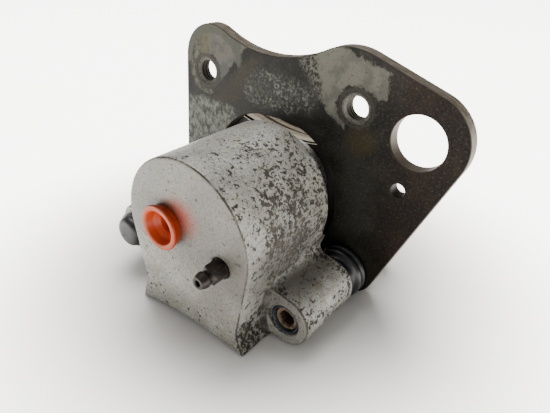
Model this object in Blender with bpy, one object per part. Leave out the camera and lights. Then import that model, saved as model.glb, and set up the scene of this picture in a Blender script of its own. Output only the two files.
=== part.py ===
"""Single-piston floating brake caliper on its flat steel mounting bracket.

Frame: metres, +Z up, origin midway between the two threaded bolt holes on the bracket's
bolting face. +X runs from the plain-lobe side to the big-hole side, +Y points from the
bolting face towards the brake disc. Every size below is in millimetres.
"""
import math

import bmesh
import bpy
from mathutils import Vector

MM = 0.001
GAP = 0.3                       # air left between two pieces that touch

# Bracket plate
PLATE_T = 5.4
BOLT_X = 34.5                   # threaded holes at +-BOLT_X
BOLT_R = 4.25
BOLT_CHAMFER_R = 5.2
BIG_HOLE = (57.55, -6.15, 9.35)
SMALL_HOLE = (53.55, -24.25, 2.55)
WINDOW = (-29.4, 30.2, -11.4)    # left side, right side and top of the open window
WINDOW_SHOULDER = 26.0
WINDOW_FOOT_X = 24.5            # half width of the window's open foot
LOWEST = -74.0

# Slide pins, (x, z) of each axis
PIN_RIGHT = (37.45, -63.7)
PIN_LEFT = (-37.35, -57.05)
PIN_R = 4.4
PIN_THREAD_R = 4.0
PIN_FRONT = -38.3
PIN_REAR = 30.0
PIN_SOCKET_R = 3.2

# Caliper body
PISTON_AXIS = (6.35, -35.95)
BARREL_R = 27.0
FACE_Y = -53.8                  # inlet face
BARREL_REAR = -9.5
BELL_FOOT = ((-19.5, LOWEST), (31.3, LOWEST))
ARCH_RISE = 2.7                 # rise of the hollow underside
BOSS_R = 9.7
BOSS_FRONT = -39.7
BOSS_REAR = -10.0
BOSS_BORE_R = 5.77
BORE_R = 17.0
BORE_BOTTOM = -40.0
BRIDGE_X = (-18.6, 19.0)
BRIDGE_TOP_V = -3.6
FINGER_Y = (27.3, 37.0)
INLET = (-1.75, -34.35, 4.5)
BLEEDER = (22.2, -40.9, 3.6)
BLEED_PASSAGE = (21.5, -40.7, 0.9)
BLEEDER_SEAT = -44.8
BLEEDER_FLATS = 6.0

# Piston
PISTON_R = BORE_R - GAP
PISTON_Y = (-33.0, 5.7)
SEAL_GROOVE = (19.0, -20.0, -17.0)
DUST_SEAT = (20.0, -12.8)

# Pads: (front, rear) faces along Y, and the radius of the hollow top edge about the disc's axis
DISC_AXIS = (3.0, 57.0)
SHIM_IN = (6.0, 6.6, 77.9)
INSULATOR = (6.9, 7.9, 80.5)
BACKING_IN = (8.2, 11.4, 77.8)
FRICTION_IN = (11.7, 14.7, 78.1)
FRICTION_OUT = (19.3, 22.3, 79.9)
BACKING_OUT = (22.6, 25.8, 77.8)
SHIM_OUT = (26.1, 26.9, 79.0)
PAD_X = (-30.5, 36.5)
PAD_FOOT_R = 116.4              # radius of the bowed foot about the disc's axis
SPRING_TOP_V = 0.45
EAR_R = 8.2

SLOPE = math.atan2(PIN_LEFT[1] - PIN_RIGHT[1], PIN_RIGHT[0] - PIN_LEFT[0])
PIN_MIDDLE = ((PIN_RIGHT[0] + PIN_LEFT[0]) / 2, (PIN_RIGHT[1] + PIN_LEFT[1]) / 2)


# ---------------------------------------------------------------- helpers
def pin_line(u, v):
    """(x, z) of a point u along the line through both pins and v above it."""
    x = PIN_MIDDLE[0] + u * math.cos(SLOPE) + v * math.sin(SLOPE)
    z = PIN_MIDDLE[1] - u * math.sin(SLOPE) + v * math.cos(SLOPE)
    return x, z


def arc(centre_x, centre_z, radius, start, end, steps):
    """Points of an arc in the XZ plane, angles in degrees."""
    points = []
    for i in range(steps + 1):
        angle = math.radians(start + (end - start) * i / steps)
        points.append((centre_x + radius * math.cos(angle), centre_z + radius * math.sin(angle)))
    return points


def arc_by_rise(start, end, rise, steps):
    """Shallow arc from start to end whose middle stands `rise` to the left of the chord."""
    a = Vector(start)
    b = Vector(end)
    half = (b - a).length / 2
    radius = (half * half + rise * rise) / (2 * rise)
    along = (b - a).normalized()
    left = Vector((-along.y, along.x))
    centre = (a + b) / 2 + left * (rise - radius)
    spread = math.asin(half / radius)
    points = []
    for i in range(steps + 1):
        angle = spread * (2 * i / steps - 1)
        points.append(tuple(centre + radius * (left * math.cos(angle) + along * math.sin(angle))))
    return points


def rounded(corners, step=15.0):
    """Closed outline from corners (x, z) or (x, z, radius); a radius rounds its corner."""
    points = []
    count = len(corners)
    for i, corner in enumerate(corners):
        here = Vector(corner[:2])
        radius = corner[2] if len(corner) == 3 else 0
        if not radius:
            points.append(tuple(here))
            continue
        before = (Vector(corners[i - 1][:2]) - here).normalized()
        after = (Vector(corners[(i + 1) % count][:2]) - here).normalized()
        half = math.acos(max(-1, min(1, before.dot(after)))) / 2
        centre = here + (before + after).normalized() * (radius / math.sin(half))
        first = here + before * (radius / math.tan(half)) - centre
        last = here + after * (radius / math.tan(half)) - centre
        turn = math.atan2(first.x * last.y - first.y * last.x, first.dot(last))
        steps = max(2, math.ceil(abs(math.degrees(turn)) / step))
        for k in range(steps + 1):
            angle = turn * k / steps
            c = math.cos(angle)
            s = math.sin(angle)
            points.append((centre.x + first.x * c - first.y * s, centre.y + first.x * s + first.y * c))
    return points


def material(name, colour, roughness, metallic):
    """Principled material with one colour."""
    mat = bpy.data.materials.new(name)
    mat.use_nodes = True
    shader = mat.node_tree.nodes["Principled BSDF"]
    shader.inputs["Base Color"].default_value = (*colour, 1)
    shader.inputs["Roughness"].default_value = roughness
    shader.inputs["Metallic"].default_value = metallic
    mat.diffuse_color = (*colour, 1)
    return mat


def add_object(name, bm, finish=None, location=(0, 0, 0), parent=None):
    """Turn a bmesh into a named object, shaded smooth except at its edges."""
    bmesh.ops.remove_doubles(bm, verts=bm.verts, dist=1e-7)
    bmesh.ops.recalc_face_normals(bm, faces=bm.faces)
    mesh = bpy.data.meshes.new(name)
    bm.to_mesh(mesh)
    bm.free()
    mesh.shade_smooth()
    mesh.set_sharp_from_angle(angle=math.radians(30))
    if finish:
        mesh.materials.append(finish)
    obj = bpy.data.objects.new(name, mesh)
    obj.location = Vector(location) * MM
    obj.parent = parent
    bpy.context.collection.objects.link(obj)
    return obj


def prism(name, outline, y_front, y_rear, **kw):
    """Solid with an XZ outline, from y_front to y_rear."""
    bm = bmesh.new()
    face = bm.faces.new([bm.verts.new(Vector((x, y_front, z)) * MM) for x, z in outline])
    extruded = bmesh.ops.extrude_face_region(bm, geom=[face])
    moved = [item for item in extruded["geom"] if isinstance(item, bmesh.types.BMVert)]
    bmesh.ops.translate(bm, verts=moved, vec=(0, (y_rear - y_front) * MM, 0))
    return add_object(name, bm, **kw)


def turned(name, profile, axis, steps=36, closed=False, **kw):
    """Solid turned round the Y axis through axis=(x, z); profile is (radius, y) points."""
    bm = bmesh.new()
    verts = [bm.verts.new(Vector((radius, y, 0)) * MM) for radius, y in profile]
    edges = [bm.edges.new(pair) for pair in zip(verts, verts[1:])]
    if closed:
        edges.append(bm.edges.new((verts[-1], verts[0])))
    bmesh.ops.spin(bm, geom=verts + edges, cent=(0, 0, 0), axis=(0, 1, 0), angle=2 * math.pi,
                   steps=steps, use_merge=True)
    return add_object(name, bm, location=(axis[0], 0, axis[1]), **kw)


def cylinder(name, axis, radius, y_front, y_rear, steps=36, **kw):
    """Plain round bar or cutter along Y."""
    profile = [(0, y_front), (radius, y_front), (radius, y_rear), (0, y_rear)]
    return turned(name, profile, axis, steps, **kw)


def sleeve(name, axis, inner, outer, y_front, y_rear, steps=36, **kw):
    """Plain ring along Y."""
    profile = [(inner, y_front), (outer, y_front), (outer, y_rear), (inner, y_rear)]
    return turned(name, profile, axis, steps, closed=True, **kw)


def combine(target, tool, operation="DIFFERENCE"):
    """Cut the tool from the target, or join it to the target; the tool is hidden."""
    boolean = target.modifiers.new(tool.name, "BOOLEAN")
    boolean.operation = operation
    boolean.object = tool
    tool.parent = target.parent
    tool.hide_render = True
    tool.display_type = "WIRE"


def empty(name, location=(0, 0, 0), parent=None):
    """Axis marker that carries one moving body."""
    marker = bpy.data.objects.new(name, None)
    marker.location = Vector(location) * MM
    marker.parent = parent
    marker.empty_display_size = 0.01
    bpy.context.collection.objects.link(marker)
    return marker


# ---------------------------------------------------------------- bracket
def bracket_outline():
    """Two bolt lobes, a corner round the big hole, two pin lugs and the open window."""
    left, right, top = WINDOW
    waist_z = -45.5
    foot_z = -61.0
    lug_z = PIN_LEFT[1] - 12.6
    corners = [(-44.35, 26.6, 14.3), (-2.25, 5.7, 50.6), (29.65, 21.25, 22.0),
               (79.6, 4.2, 16.4), (46.1, LOWEST, 10.5), (WINDOW_FOOT_X, LOWEST, 11.5)]
    corners += [(WINDOW_FOOT_X, foot_z, 8.0), (right, waist_z, 20.0),
                (right, top, WINDOW_SHOULDER), (left, top, WINDOW_SHOULDER),
                (left, waist_z, 20.0), (-WINDOW_FOOT_X, foot_z, 8.0)]
    corners += [(-WINDOW_FOOT_X, lug_z, 7.2), (-50.8, lug_z, 12.4)]
    return rounded(corners, 8.0)


def threaded_hole(name, x):
    """Cutter for one bolt hole, with its lead-in chamfer on the bolting face."""
    flare = BOLT_CHAMFER_R - BOLT_R
    profile = [(0, -1), (BOLT_CHAMFER_R + 1, -1), (BOLT_R, flare), (BOLT_R, PLATE_T + 1),
               (0, PLATE_T + 1)]
    return turned(name, profile, (x, 0), 32)


def make_bracket(parent):
    steel = material("bracket_steel", (0.16, 0.13, 0.11), 0.6, 0.6)
    plate = prism("bracket_plate", bracket_outline(), 0, PLATE_T, finish=steel, parent=parent)
    combine(plate, threaded_hole("cut_bolt_left", -BOLT_X))
    combine(plate, threaded_hole("cut_bolt_right", BOLT_X))
    for name, (x, z, radius) in (("cut_big", BIG_HOLE), ("cut_small", SMALL_HOLE)):
        combine(plate, cylinder(name, (x, z), radius, -1, PLATE_T + 1))
    for side, axis in (("left", PIN_LEFT), ("right", PIN_RIGHT)):
        combine(plate, cylinder("cut_pin_" + side, axis, PIN_THREAD_R + GAP, -1, PLATE_T + 1, 24))


def make_pin(side, axis, parent):
    """Screwed-in slide pin: socket drive in front, shoulder, threaded waist, pad end behind."""
    steel = material(side + "_pin_steel", (0.33, 0.24, 0.19), 0.5, 0.8)
    shoulder = -GAP
    profile = [(0, PIN_FRONT + 5), (PIN_SOCKET_R, PIN_FRONT + 5), (PIN_SOCKET_R, PIN_FRONT),
               (PIN_R - 0.4, PIN_FRONT), (PIN_R, PIN_FRONT + 0.8), (PIN_R, shoulder - 2.2),
               (6.0, shoulder - 2.2), (6.0, shoulder), (PIN_THREAD_R, shoulder),
               (PIN_THREAD_R, PLATE_T + GAP), (PIN_THREAD_R, PIN_REAR - 0.8),
               (PIN_THREAD_R - 0.8, PIN_REAR), (0, PIN_REAR)]
    turned(side + "_slide_pin", profile, axis, 24, finish=steel, parent=parent)


def make_boot(side, axis, parent):
    """Two-rib rubber boot between the boss and the plate, hollow round the pin."""
    rubber = material(side + "_boot_rubber", (0.02, 0.022, 0.026), 0.45, 0.0)
    front = BOSS_REAR + GAP
    rear = -GAP
    inner = PIN_R + GAP
    profile = [(inner, front), (8.4, front), (8.4, -7.4), (10.25, -5.6), (10.25, -4.6),
               (8.8, -3.6), (10.25, -2.6), (10.25, -1.6), (8.8, rear), (6.3, rear),
               (6.3, -2.8), (7.2, -3.6), (7.2, -7.0), (inner, -8.0)]
    turned(side + "_pin_boot", profile, axis, 28, closed=True, finish=rubber, parent=parent)


# ---------------------------------------------------------------- caliper
def bell_outline():
    """Barrel circle whose sides run down, pinch in and flare to two feet with an arch between."""
    x, z = PISTON_AXIS
    left_foot, right_foot = BELL_FOOT
    corners = arc(x, z, BARREL_R, 190.4, -9.7, 40)
    corners += [(28.0, -67.0, 12.0), right_foot]
    corners += arc_by_rise(left_foot, right_foot, ARCH_RISE, 14)[::-1][1:-1]
    corners += [left_foot, (-15.9, -63.5, 14.0)]
    return rounded(corners)


def right_boss_outline():
    """Pin boss and the web that ties it to the barrel."""
    x, z = PIN_RIGHT
    corners = [(10, -50), (26.5, -51.3), (30.5, -52.3, 3.0)]
    corners += arc(x, z, BOSS_R, 86, -122, 20)
    corners += [(28.2, -70.4, 2.0), (24.5, -66.5), (10, -66)]
    return rounded(corners)


def left_boss_outline():
    x, z = PIN_LEFT
    corners = [(0, -45), (-18.0, -45.8)]
    corners += arc(x, z, BOSS_R, 100, 290, 18)
    corners += [(-17.0, -66.5), (0, -62)]
    return rounded(corners)


def bridge_outline():
    """Cross-section of the bridge: arched below, parallel to the pin line above."""
    left, right = BRIDGE_X
    underside = [p for p in arc_by_rise(*BELL_FOOT, ARCH_RISE, 40) if left < p[0] < right]
    top_left = pin_line(left - PIN_MIDDLE[0], BRIDGE_TOP_V)
    top_right = pin_line(right - PIN_MIDDLE[0], BRIDGE_TOP_V)
    corners = underside[::-1] + [(*top_left, 1.5), (*top_right, 1.5)]
    return rounded(corners, 30.0)


def fingers_outline():
    """Two outboard fingers rising from the bridge on either side of a tool notch."""
    left, right = BRIDGE_X
    underside = [p for p in arc_by_rise(*BELL_FOOT, ARCH_RISE, 40) if left < p[0] < right]
    notch = (PISTON_AXIS[0] - 7.3, PISTON_AXIS[0] + 7.3)
    tip_z = -25.0
    corners = underside[::-1]
    corners += [(left, -58.0, 6.0), (-13.5, -49.0, 6.0), (-13.5, tip_z, 5.0)]
    corners += [(notch[0], tip_z, 5.0), (notch[0], -48.0, 7.2)]
    corners += [(notch[1], -48.0, 7.2), (notch[1], tip_z, 5.0)]
    corners += [(26.2, tip_z, 5.0), (26.2, -49.0, 7.0), (right, -60.0, 6.0)]
    return rounded(corners)


def make_body(parent):
    aluminium = material("painted_aluminium", (0.62, 0.62, 0.60), 0.5, 0.2)
    body = prism("caliper_body", bell_outline(), FACE_Y, BARREL_REAR, finish=aluminium,
                 parent=parent)
    joined = [prism("add_boss_right", right_boss_outline(), BOSS_FRONT, BOSS_REAR),
              prism("add_boss_left", left_boss_outline(), BOSS_FRONT, BOSS_REAR),
              prism("add_bridge", bridge_outline(), BARREL_REAR - 5, FINGER_Y[0] + 5),
              prism("add_fingers", fingers_outline(), *FINGER_Y)]
    for tool in joined:
        combine(body, tool, "UNION")
    groove_r, groove_front, groove_rear = SEAL_GROOVE
    seat_r, seat_front = DUST_SEAT
    bore = [(0, BORE_BOTTOM), (BORE_R, BORE_BOTTOM), (BORE_R, groove_front),
            (groove_r, groove_front), (groove_r, groove_rear), (BORE_R, groove_rear),
            (BORE_R, seat_front), (seat_r, seat_front), (seat_r, BARREL_REAR + 1),
            (0, BARREL_REAR + 1)]
    combine(body, turned("cut_bore", bore, PISTON_AXIS, 48))
    x, z, radius = INLET
    combine(body, cylinder("cut_inlet", (x, z), radius, FACE_Y - 1, BORE_BOTTOM + 1, 24))
    x, z, radius = BLEEDER
    combine(body, cylinder("cut_bleeder", (x, z), radius, FACE_Y - 1, BLEEDER_SEAT, 24))
    x, z, radius = BLEED_PASSAGE
    combine(body, cylinder("cut_passage", (x, z), radius, BLEEDER_SEAT - 1, BORE_BOTTOM + 1, 12))
    for side, axis in (("left", PIN_LEFT), ("right", PIN_RIGHT)):
        combine(body, cylinder("cut_boss_" + side, axis, BOSS_BORE_R, BOSS_FRONT - 1,
                               BOSS_REAR + 1, 28))


def make_seals(parent):
    rubber = material("seal_rubber", (0.02, 0.02, 0.02), 0.6, 0.0)
    groove_r, groove_front, groove_rear = SEAL_GROOVE
    seat_r, seat_front = DUST_SEAT
    sleeve("piston_seal", PISTON_AXIS, BORE_R, groove_r - GAP, groove_front + GAP,
           groove_rear - GAP, 40, finish=rubber, parent=parent)
    sleeve("dust_seal", PISTON_AXIS, BORE_R, seat_r - GAP, seat_front + GAP,
           BARREL_REAR + 0.6, 40, finish=rubber, parent=parent)


def make_guide_bush(side, axis, front, parent):
    rubber = material(side + "_bush_rubber", (0.03, 0.035, 0.05), 0.5, 0.0)
    sleeve(side + "_guide_bush", axis, PIN_R + GAP, BOSS_BORE_R - GAP, front, -12.0, 24,
           finish=rubber, parent=parent)


def make_pin_cap(parent):
    """Push-in rubber cap over the left boss, with a ridge round its head."""
    rubber = material("cap_rubber", (0.045, 0.045, 0.05), 0.6, 0.0)
    profile = [(0, -46.3), (3.6, -46.2), (5.4, -45.6), (6.3, -44.3), (6.3, -43.5), (7.1, -42.9),
               (7.1, -40.9), (6.6, BOSS_FRONT - GAP), (5.45, BOSS_FRONT - GAP), (5.45, -36.4),
               (4.8, -36.0), (4.8, -43.2), (0, -43.9)]
    turned("left_pin_cap", profile, PIN_LEFT, 28, finish=rubber, parent=parent)


def make_bleeder(parent):
    """Bleeder screw: seat cone, thread, spanner hexagon, grooved nipple, tip drilling."""
    steel = material("bleeder_steel", (0.10, 0.07, 0.055), 0.5, 0.7)
    x, z, hole_r = BLEEDER
    shank_r = hole_r - GAP
    foot = FACE_Y - GAP
    profile = [(0, BLEEDER_SEAT - 0.5), (1.4, BLEEDER_SEAT - 0.6), (shank_r, BLEEDER_SEAT - 2.6),
               (shank_r, foot), (2.9, foot - 5.0), (2.3, foot - 5.4), (2.3, foot - 6.1),
               (2.75, foot - 6.7), (2.75, foot - 7.9), (2.1, foot - 9.6), (1.0, foot - 9.6),
               (1.0, foot - 4.5), (0, foot - 4.5)]
    screw = turned("bleeder_screw", profile, (x, z), 20, finish=steel, parent=parent)
    hexagon = arc(0, 0, BLEEDER_FLATS / math.sqrt(3), 10, 310, 5)
    combine(screw, prism("add_hexagon", hexagon, foot - 4.8, foot, location=(x, 0, z)), "UNION")


def make_plug(parent):
    """Tapered shipping plug in the fluid inlet: an open cup with a hollow closed stem."""
    plastic = material("plug_plastic", (0.75, 0.11, 0.02), 0.4, 0.0)
    x, z, port_r = INLET
    foot = FACE_Y - GAP
    stem_r = port_r - GAP
    profile = [(0, -44.6), (stem_r - 0.6, -44.6), (stem_r, -45.4), (stem_r, foot), (7.3, foot),
               (7.6, foot - 2.2), (8.05, foot - 2.5), (8.05, foot - 3.2), (7.6, foot - 3.6),
               (6.0, foot - 3.6), (5.6, foot - 0.9), (3.3, foot + 0.8), (3.1, -46.4), (0, -46.4)]
    turned("port_plug", profile, (x, z), 32, finish=plastic, parent=parent)


# ---------------------------------------------------------------- piston and pads
def make_piston(parent):
    steel = material("piston_steel", (0.55, 0.55, 0.53), 0.3, 1.0)
    front, rear = PISTON_Y
    profile = [(0, front), (PISTON_R - 1, front), (PISTON_R, front + 1), (PISTON_R, rear),
               (12.6, rear), (12.0, front + 7), (0, front + 7)]
    turned("piston", profile, PISTON_AXIS, 40, finish=steel, parent=parent)


def disc_point(radius, x):
    """(x, z) on a circle about the disc's axis, below that axis."""
    axis_x, axis_z = DISC_AXIS
    return x, axis_z - math.sqrt(radius ** 2 - (x - axis_x) ** 2)


def disc_arc(radius, start_x, end_x, steps):
    return [disc_point(radius, start_x + (end_x - start_x) * i / steps) for i in range(steps + 1)]


def pad_block(name, layer, finish, parent, inset=0.0):
    """Pad layer without ears, both its long edges arcs about the disc's axis."""
    y_front, y_rear, top_r = layer
    left = PAD_X[0] + inset
    right = PAD_X[1] - inset
    corners = [(*disc_point(top_r, left), 5.0)] + disc_arc(top_r, left + 9, right - 9, 8)
    corners += [(*disc_point(top_r, right), 5.0), (*disc_point(PAD_FOOT_R, right), 2.0)]
    corners += disc_arc(PAD_FOOT_R, right - 3, left + 3, 8)
    corners += [(*disc_point(PAD_FOOT_R, left), 2.0)]
    return prism(name, rounded(corners, 22.5), y_front, y_rear, finish=finish, parent=parent)


def backing_plate(name, layer, finish, parent):
    """Steel pad backing with an ear on each slide pin."""
    y_front, y_rear, top_r = layer
    left, right = PAD_X
    neck = 0.8
    corners = [(*disc_point(top_r, left), 5.0)] + disc_arc(top_r, left + 9, right - 9, 8)
    corners += [(*disc_point(top_r, right), 5.0), (right + neck, PIN_RIGHT[1] + 13.5, 3.0)]
    corners += arc(*PIN_RIGHT, EAR_R, 75, -150, 12)
    corners += disc_arc(PAD_FOOT_R, 27.5, -27.0, 10)
    corners += arc(*PIN_LEFT, EAR_R, -30, -255, 12)
    corners += [(left - neck, PIN_LEFT[1] + 13.5, 3.0)]
    outline = rounded(corners, 22.5)
    plate = prism(name, outline, y_front, y_rear, finish=finish, parent=parent)
    for side, axis in (("left", PIN_LEFT), ("right", PIN_RIGHT)):
        hole = cylinder("cut_" + name + "_" + side, axis, PIN_THREAD_R + GAP, y_front - 1,
                        y_rear + 1, 20)
        combine(plate, hole)


def make_pads(inboard, outboard):
    coated = material("shim_steel", (0.30, 0.29, 0.27), 0.5, 0.6)
    black = material("insulator_black", (0.02, 0.02, 0.02), 0.7, 0.0)
    steel = material("backing_steel", (0.35, 0.32, 0.28), 0.6, 0.5)
    lining = material("friction_lining", (0.42, 0.39, 0.34), 0.9, 0.0)
    pad_block("inboard_shim", SHIM_IN, coated, inboard)
    pad_block("inboard_insulator", INSULATOR, black, inboard)
    backing_plate("inboard_backing", BACKING_IN, steel, inboard)
    pad_block("inboard_friction", FRICTION_IN, lining, inboard, 0.5)
    pad_block("outboard_friction", FRICTION_OUT, lining, outboard, 0.5)
    backing_plate("outboard_backing", BACKING_OUT, steel, outboard)
    pad_block("outboard_shim", SHIM_OUT, coated, outboard)


def make_pad_spring(parent):
    """Sheet spring on the bridge with two raised tabs under the pad backings."""
    steel = material("spring_steel", (0.45, 0.44, 0.42), 0.35, 1.0)
    low = BRIDGE_TOP_V + GAP
    sheet = 0.5
    side = [(6.8, low), (26.8, low), (26.8, low + sheet), (26.0, low + sheet),
            (25.0, SPRING_TOP_V), (23.4, SPRING_TOP_V), (22.0, low + sheet), (12.2, low + sheet),
            (10.6, SPRING_TOP_V), (9.0, SPRING_TOP_V), (7.6, low + sheet), (6.8, low + sheet)]
    bm = bmesh.new()
    corners = []
    for y, v in side:
        x, z = pin_line(-7.0, v)
        corners.append(bm.verts.new(Vector((x, y, z)) * MM))
    face = bm.faces.new(corners)
    extruded = bmesh.ops.extrude_face_region(bm, geom=[face])
    moved = [item for item in extruded["geom"] if isinstance(item, bmesh.types.BMVert)]
    across = Vector((math.cos(SLOPE), 0, -math.sin(SLOPE))) * 14.0 * MM
    bmesh.ops.translate(bm, verts=moved, vec=across)
    add_object("pad_spring", bm, finish=steel, parent=parent)


def main():
    for old in list(bpy.data.objects):
        bpy.data.objects.remove(old, do_unlink=True)
    bracket = empty("bracket_frame")
    caliper = empty("caliper_carrier", parent=bracket)
    piston = empty("piston_carrier", parent=caliper)
    inboard = empty("inboard_pad_carrier", parent=bracket)
    outboard = empty("outboard_pad_carrier", parent=bracket)
    make_bracket(bracket)
    for side, axis in (("left", PIN_LEFT), ("right", PIN_RIGHT)):
        make_pin(side, axis, bracket)
        make_boot(side, axis, bracket)
    make_body(caliper)
    make_seals(caliper)
    make_guide_bush("left", PIN_LEFT, -35.4, caliper)
    make_guide_bush("right", PIN_RIGHT, BOSS_FRONT + 0.5, caliper)
    make_pin_cap(caliper)
    make_bleeder(caliper)
    make_plug(caliper)
    make_pad_spring(caliper)
    make_piston(piston)
    make_pads(inboard, outboard)
    bpy.context.view_layer.update()


main()
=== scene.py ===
"""Looks of the brake caliper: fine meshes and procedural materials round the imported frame.

Lengths in the shape functions are millimetres in the row frame; meshes are made in metres.
"""
import math

import bmesh
import bpy
import numpy as np
from mathutils import Matrix, Vector


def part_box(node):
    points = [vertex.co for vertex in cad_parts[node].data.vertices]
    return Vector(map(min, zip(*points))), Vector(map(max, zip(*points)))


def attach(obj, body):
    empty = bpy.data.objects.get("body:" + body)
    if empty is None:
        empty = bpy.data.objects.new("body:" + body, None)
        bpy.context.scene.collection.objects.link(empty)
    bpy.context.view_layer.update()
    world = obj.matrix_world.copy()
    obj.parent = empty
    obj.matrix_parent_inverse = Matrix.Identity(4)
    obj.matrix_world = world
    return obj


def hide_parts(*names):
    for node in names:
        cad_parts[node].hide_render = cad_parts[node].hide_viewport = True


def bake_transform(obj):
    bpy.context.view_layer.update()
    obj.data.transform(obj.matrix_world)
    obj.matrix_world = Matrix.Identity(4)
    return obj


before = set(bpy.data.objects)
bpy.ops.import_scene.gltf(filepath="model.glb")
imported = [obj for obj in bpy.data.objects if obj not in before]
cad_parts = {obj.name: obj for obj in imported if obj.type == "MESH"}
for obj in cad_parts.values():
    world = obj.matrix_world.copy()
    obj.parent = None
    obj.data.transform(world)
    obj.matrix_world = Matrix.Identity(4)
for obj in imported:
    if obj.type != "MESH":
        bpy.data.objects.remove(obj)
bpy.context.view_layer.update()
MM = 0.001


# ---------------------------------------------------------------- places read from the frame
def node_box(node):
    """(low, high) corners of a CAD node in millimetres."""
    low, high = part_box(node)
    return np.array(low) / MM, np.array(high) / MM


def axis_of(node):
    """(x, z) of the Y axis through the middle of a round CAD node."""
    low, high = node_box(node)
    middle = (low + high) / 2
    return float(middle[0]), float(middle[2])


def span_of(node):
    """(front, rear) of a CAD node along Y."""
    low, high = node_box(node)
    return float(low[1]), float(high[1])


PIN_RIGHT = axis_of("right_slide_pin")
PIN_LEFT = axis_of("left_slide_pin")
PISTON_AXIS = axis_of("piston")
INLET = axis_of("port_plug")
BLEEDER = axis_of("bleeder_screw")
PLATE_T = span_of("bracket_plate")[1]
LOWEST = float(node_box("bracket_plate")[0][2])
FACE_Y = span_of("caliper_body")[0]
FINGER_REAR = span_of("caliper_body")[1]
PIN_FRONT, PIN_REAR = span_of("right_slide_pin")

SLOPE = math.atan2(PIN_LEFT[1] - PIN_RIGHT[1], PIN_RIGHT[0] - PIN_LEFT[0])
PIN_MIDDLE = ((PIN_RIGHT[0] + PIN_LEFT[0]) / 2, (PIN_RIGHT[1] + PIN_LEFT[1]) / 2)

# Bracket plate
BOLT_X = 34.5
THREAD_PITCH = 1.5
THREAD_CREST_R = 4.1
THREAD_ROOT_R = 5.0
BOLT_CHAMFER_R = 5.2
BOLT_CHAMFER_DEPTH = 0.8
PLATE_EDGE = 0.4
BIG_HOLE = (57.55, -6.15, 9.35)
SMALL_HOLE = (53.55, -24.25, 2.55)
WINDOW = (-29.4, 30.2, -11.4)
WINDOW_SHOULDER = 26.0
WINDOW_FOOT_X = 24.5
# Caliper body
BARREL_R = 27.0
BARREL_REAR = -9.5
BELL_FOOT = ((-19.5, -74.0), (31.3, -74.0))
ARCH_RISE = 2.7
BOSS_R = 9.7
BOSS_FRONT = -39.7
BOSS_REAR = -10.0
BOSS_BORE_R = 5.77
BORE_R = 17.0
BORE_BOTTOM = -40.0
SEAL_GROOVE = (19.0, -20.0, -17.0)
DUST_SEAT = (20.0, -12.8)
BRIDGE_X = (-18.6, 19.0)
BRIDGE_TOP_V = -3.6
FINGER_FRONT = 27.3
PORT_R = 4.5
BLEED_HOLE_R = 3.6
BLEEDER_SEAT = -44.8
# Pins
PIN_R = 4.4
PIN_THREAD_R = 4.0
# Pads
DISC_AXIS = (3.0, 57.0)
PAD_X = (-30.5, 36.5)
PAD_FOOT_R = 116.4
BACKING_TOP_R = 77.8
EAR_R = 8.2
GAP = 0.3
FLOOR_GLOW = 6.0


# ---------------------------------------------------------------- outlines
def pin_line(u, v):
    """(x, z) of a point u along the line through both pins and v above it."""
    x = PIN_MIDDLE[0] + u * math.cos(SLOPE) + v * math.sin(SLOPE)
    z = PIN_MIDDLE[1] - u * math.sin(SLOPE) + v * math.cos(SLOPE)
    return x, z


def arc(centre_x, centre_z, radius, start, end, steps):
    points = []
    for i in range(steps + 1):
        angle = math.radians(start + (end - start) * i / steps)
        points.append((centre_x + radius * math.cos(angle), centre_z + radius * math.sin(angle)))
    return points


def circle(centre_x, centre_z, radius, steps=96):
    return arc(centre_x, centre_z, radius, 0, 360 - 360 / steps, steps - 1)


def arc_by_rise(start, end, rise, steps):
    """Shallow arc from start to end whose middle stands `rise` to the left of the chord."""
    a = Vector(start)
    b = Vector(end)
    half = (b - a).length / 2
    radius = (half * half + rise * rise) / (2 * rise)
    along = (b - a).normalized()
    left = Vector((-along.y, along.x))
    centre = (a + b) / 2 + left * (rise - radius)
    spread = math.asin(half / radius)
    points = []
    for i in range(steps + 1):
        angle = spread * (2 * i / steps - 1)
        points.append(tuple(centre + radius * (left * math.cos(angle) + along * math.sin(angle))))
    return points


def rounded(corners, step=4.0):
    """Closed outline from corners (x, z) or (x, z, radius); a radius rounds its corner."""
    points = []
    count = len(corners)
    for i, corner in enumerate(corners):
        here = Vector(corner[:2])
        radius = corner[2] if len(corner) == 3 else 0
        if not radius:
            points.append(tuple(here))
            continue
        before = (Vector(corners[i - 1][:2]) - here).normalized()
        after = (Vector(corners[(i + 1) % count][:2]) - here).normalized()
        half = math.acos(max(-1, min(1, before.dot(after)))) / 2
        centre = here + (before + after).normalized() * (radius / math.sin(half))
        first = here + before * (radius / math.tan(half)) - centre
        last = here + after * (radius / math.tan(half)) - centre
        turn = math.atan2(first.x * last.y - first.y * last.x, first.dot(last))
        steps = max(2, math.ceil(abs(math.degrees(turn)) / step))
        for k in range(steps + 1):
            angle = turn * k / steps
            c = math.cos(angle)
            s = math.sin(angle)
            spoke = Vector((first.x * c - first.y * s, first.x * s + first.y * c))
            points.append(tuple(centre + spoke))
    return points


def bracket_outline():
    """Two bolt lobes, a corner round the big hole, two pin lugs and the open window."""
    left, right, top = WINDOW
    waist_z = -45.5
    foot_z = -61.0
    lug_z = PIN_LEFT[1] - 12.6
    corners = [(-44.35, 26.6, 14.3), (-2.25, 5.7, 50.6), (29.65, 21.25, 22.0),
               (79.6, 4.2, 16.4), (46.1, LOWEST, 10.5), (WINDOW_FOOT_X, LOWEST, 11.5)]
    corners += [(WINDOW_FOOT_X, foot_z, 8.0), (right, waist_z, 20.0),
                (right, top, WINDOW_SHOULDER), (left, top, WINDOW_SHOULDER),
                (left, waist_z, 20.0), (-WINDOW_FOOT_X, foot_z, 8.0)]
    corners += [(-WINDOW_FOOT_X, lug_z, 7.2), (-50.8, lug_z, 12.4)]
    return rounded(corners)


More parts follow.
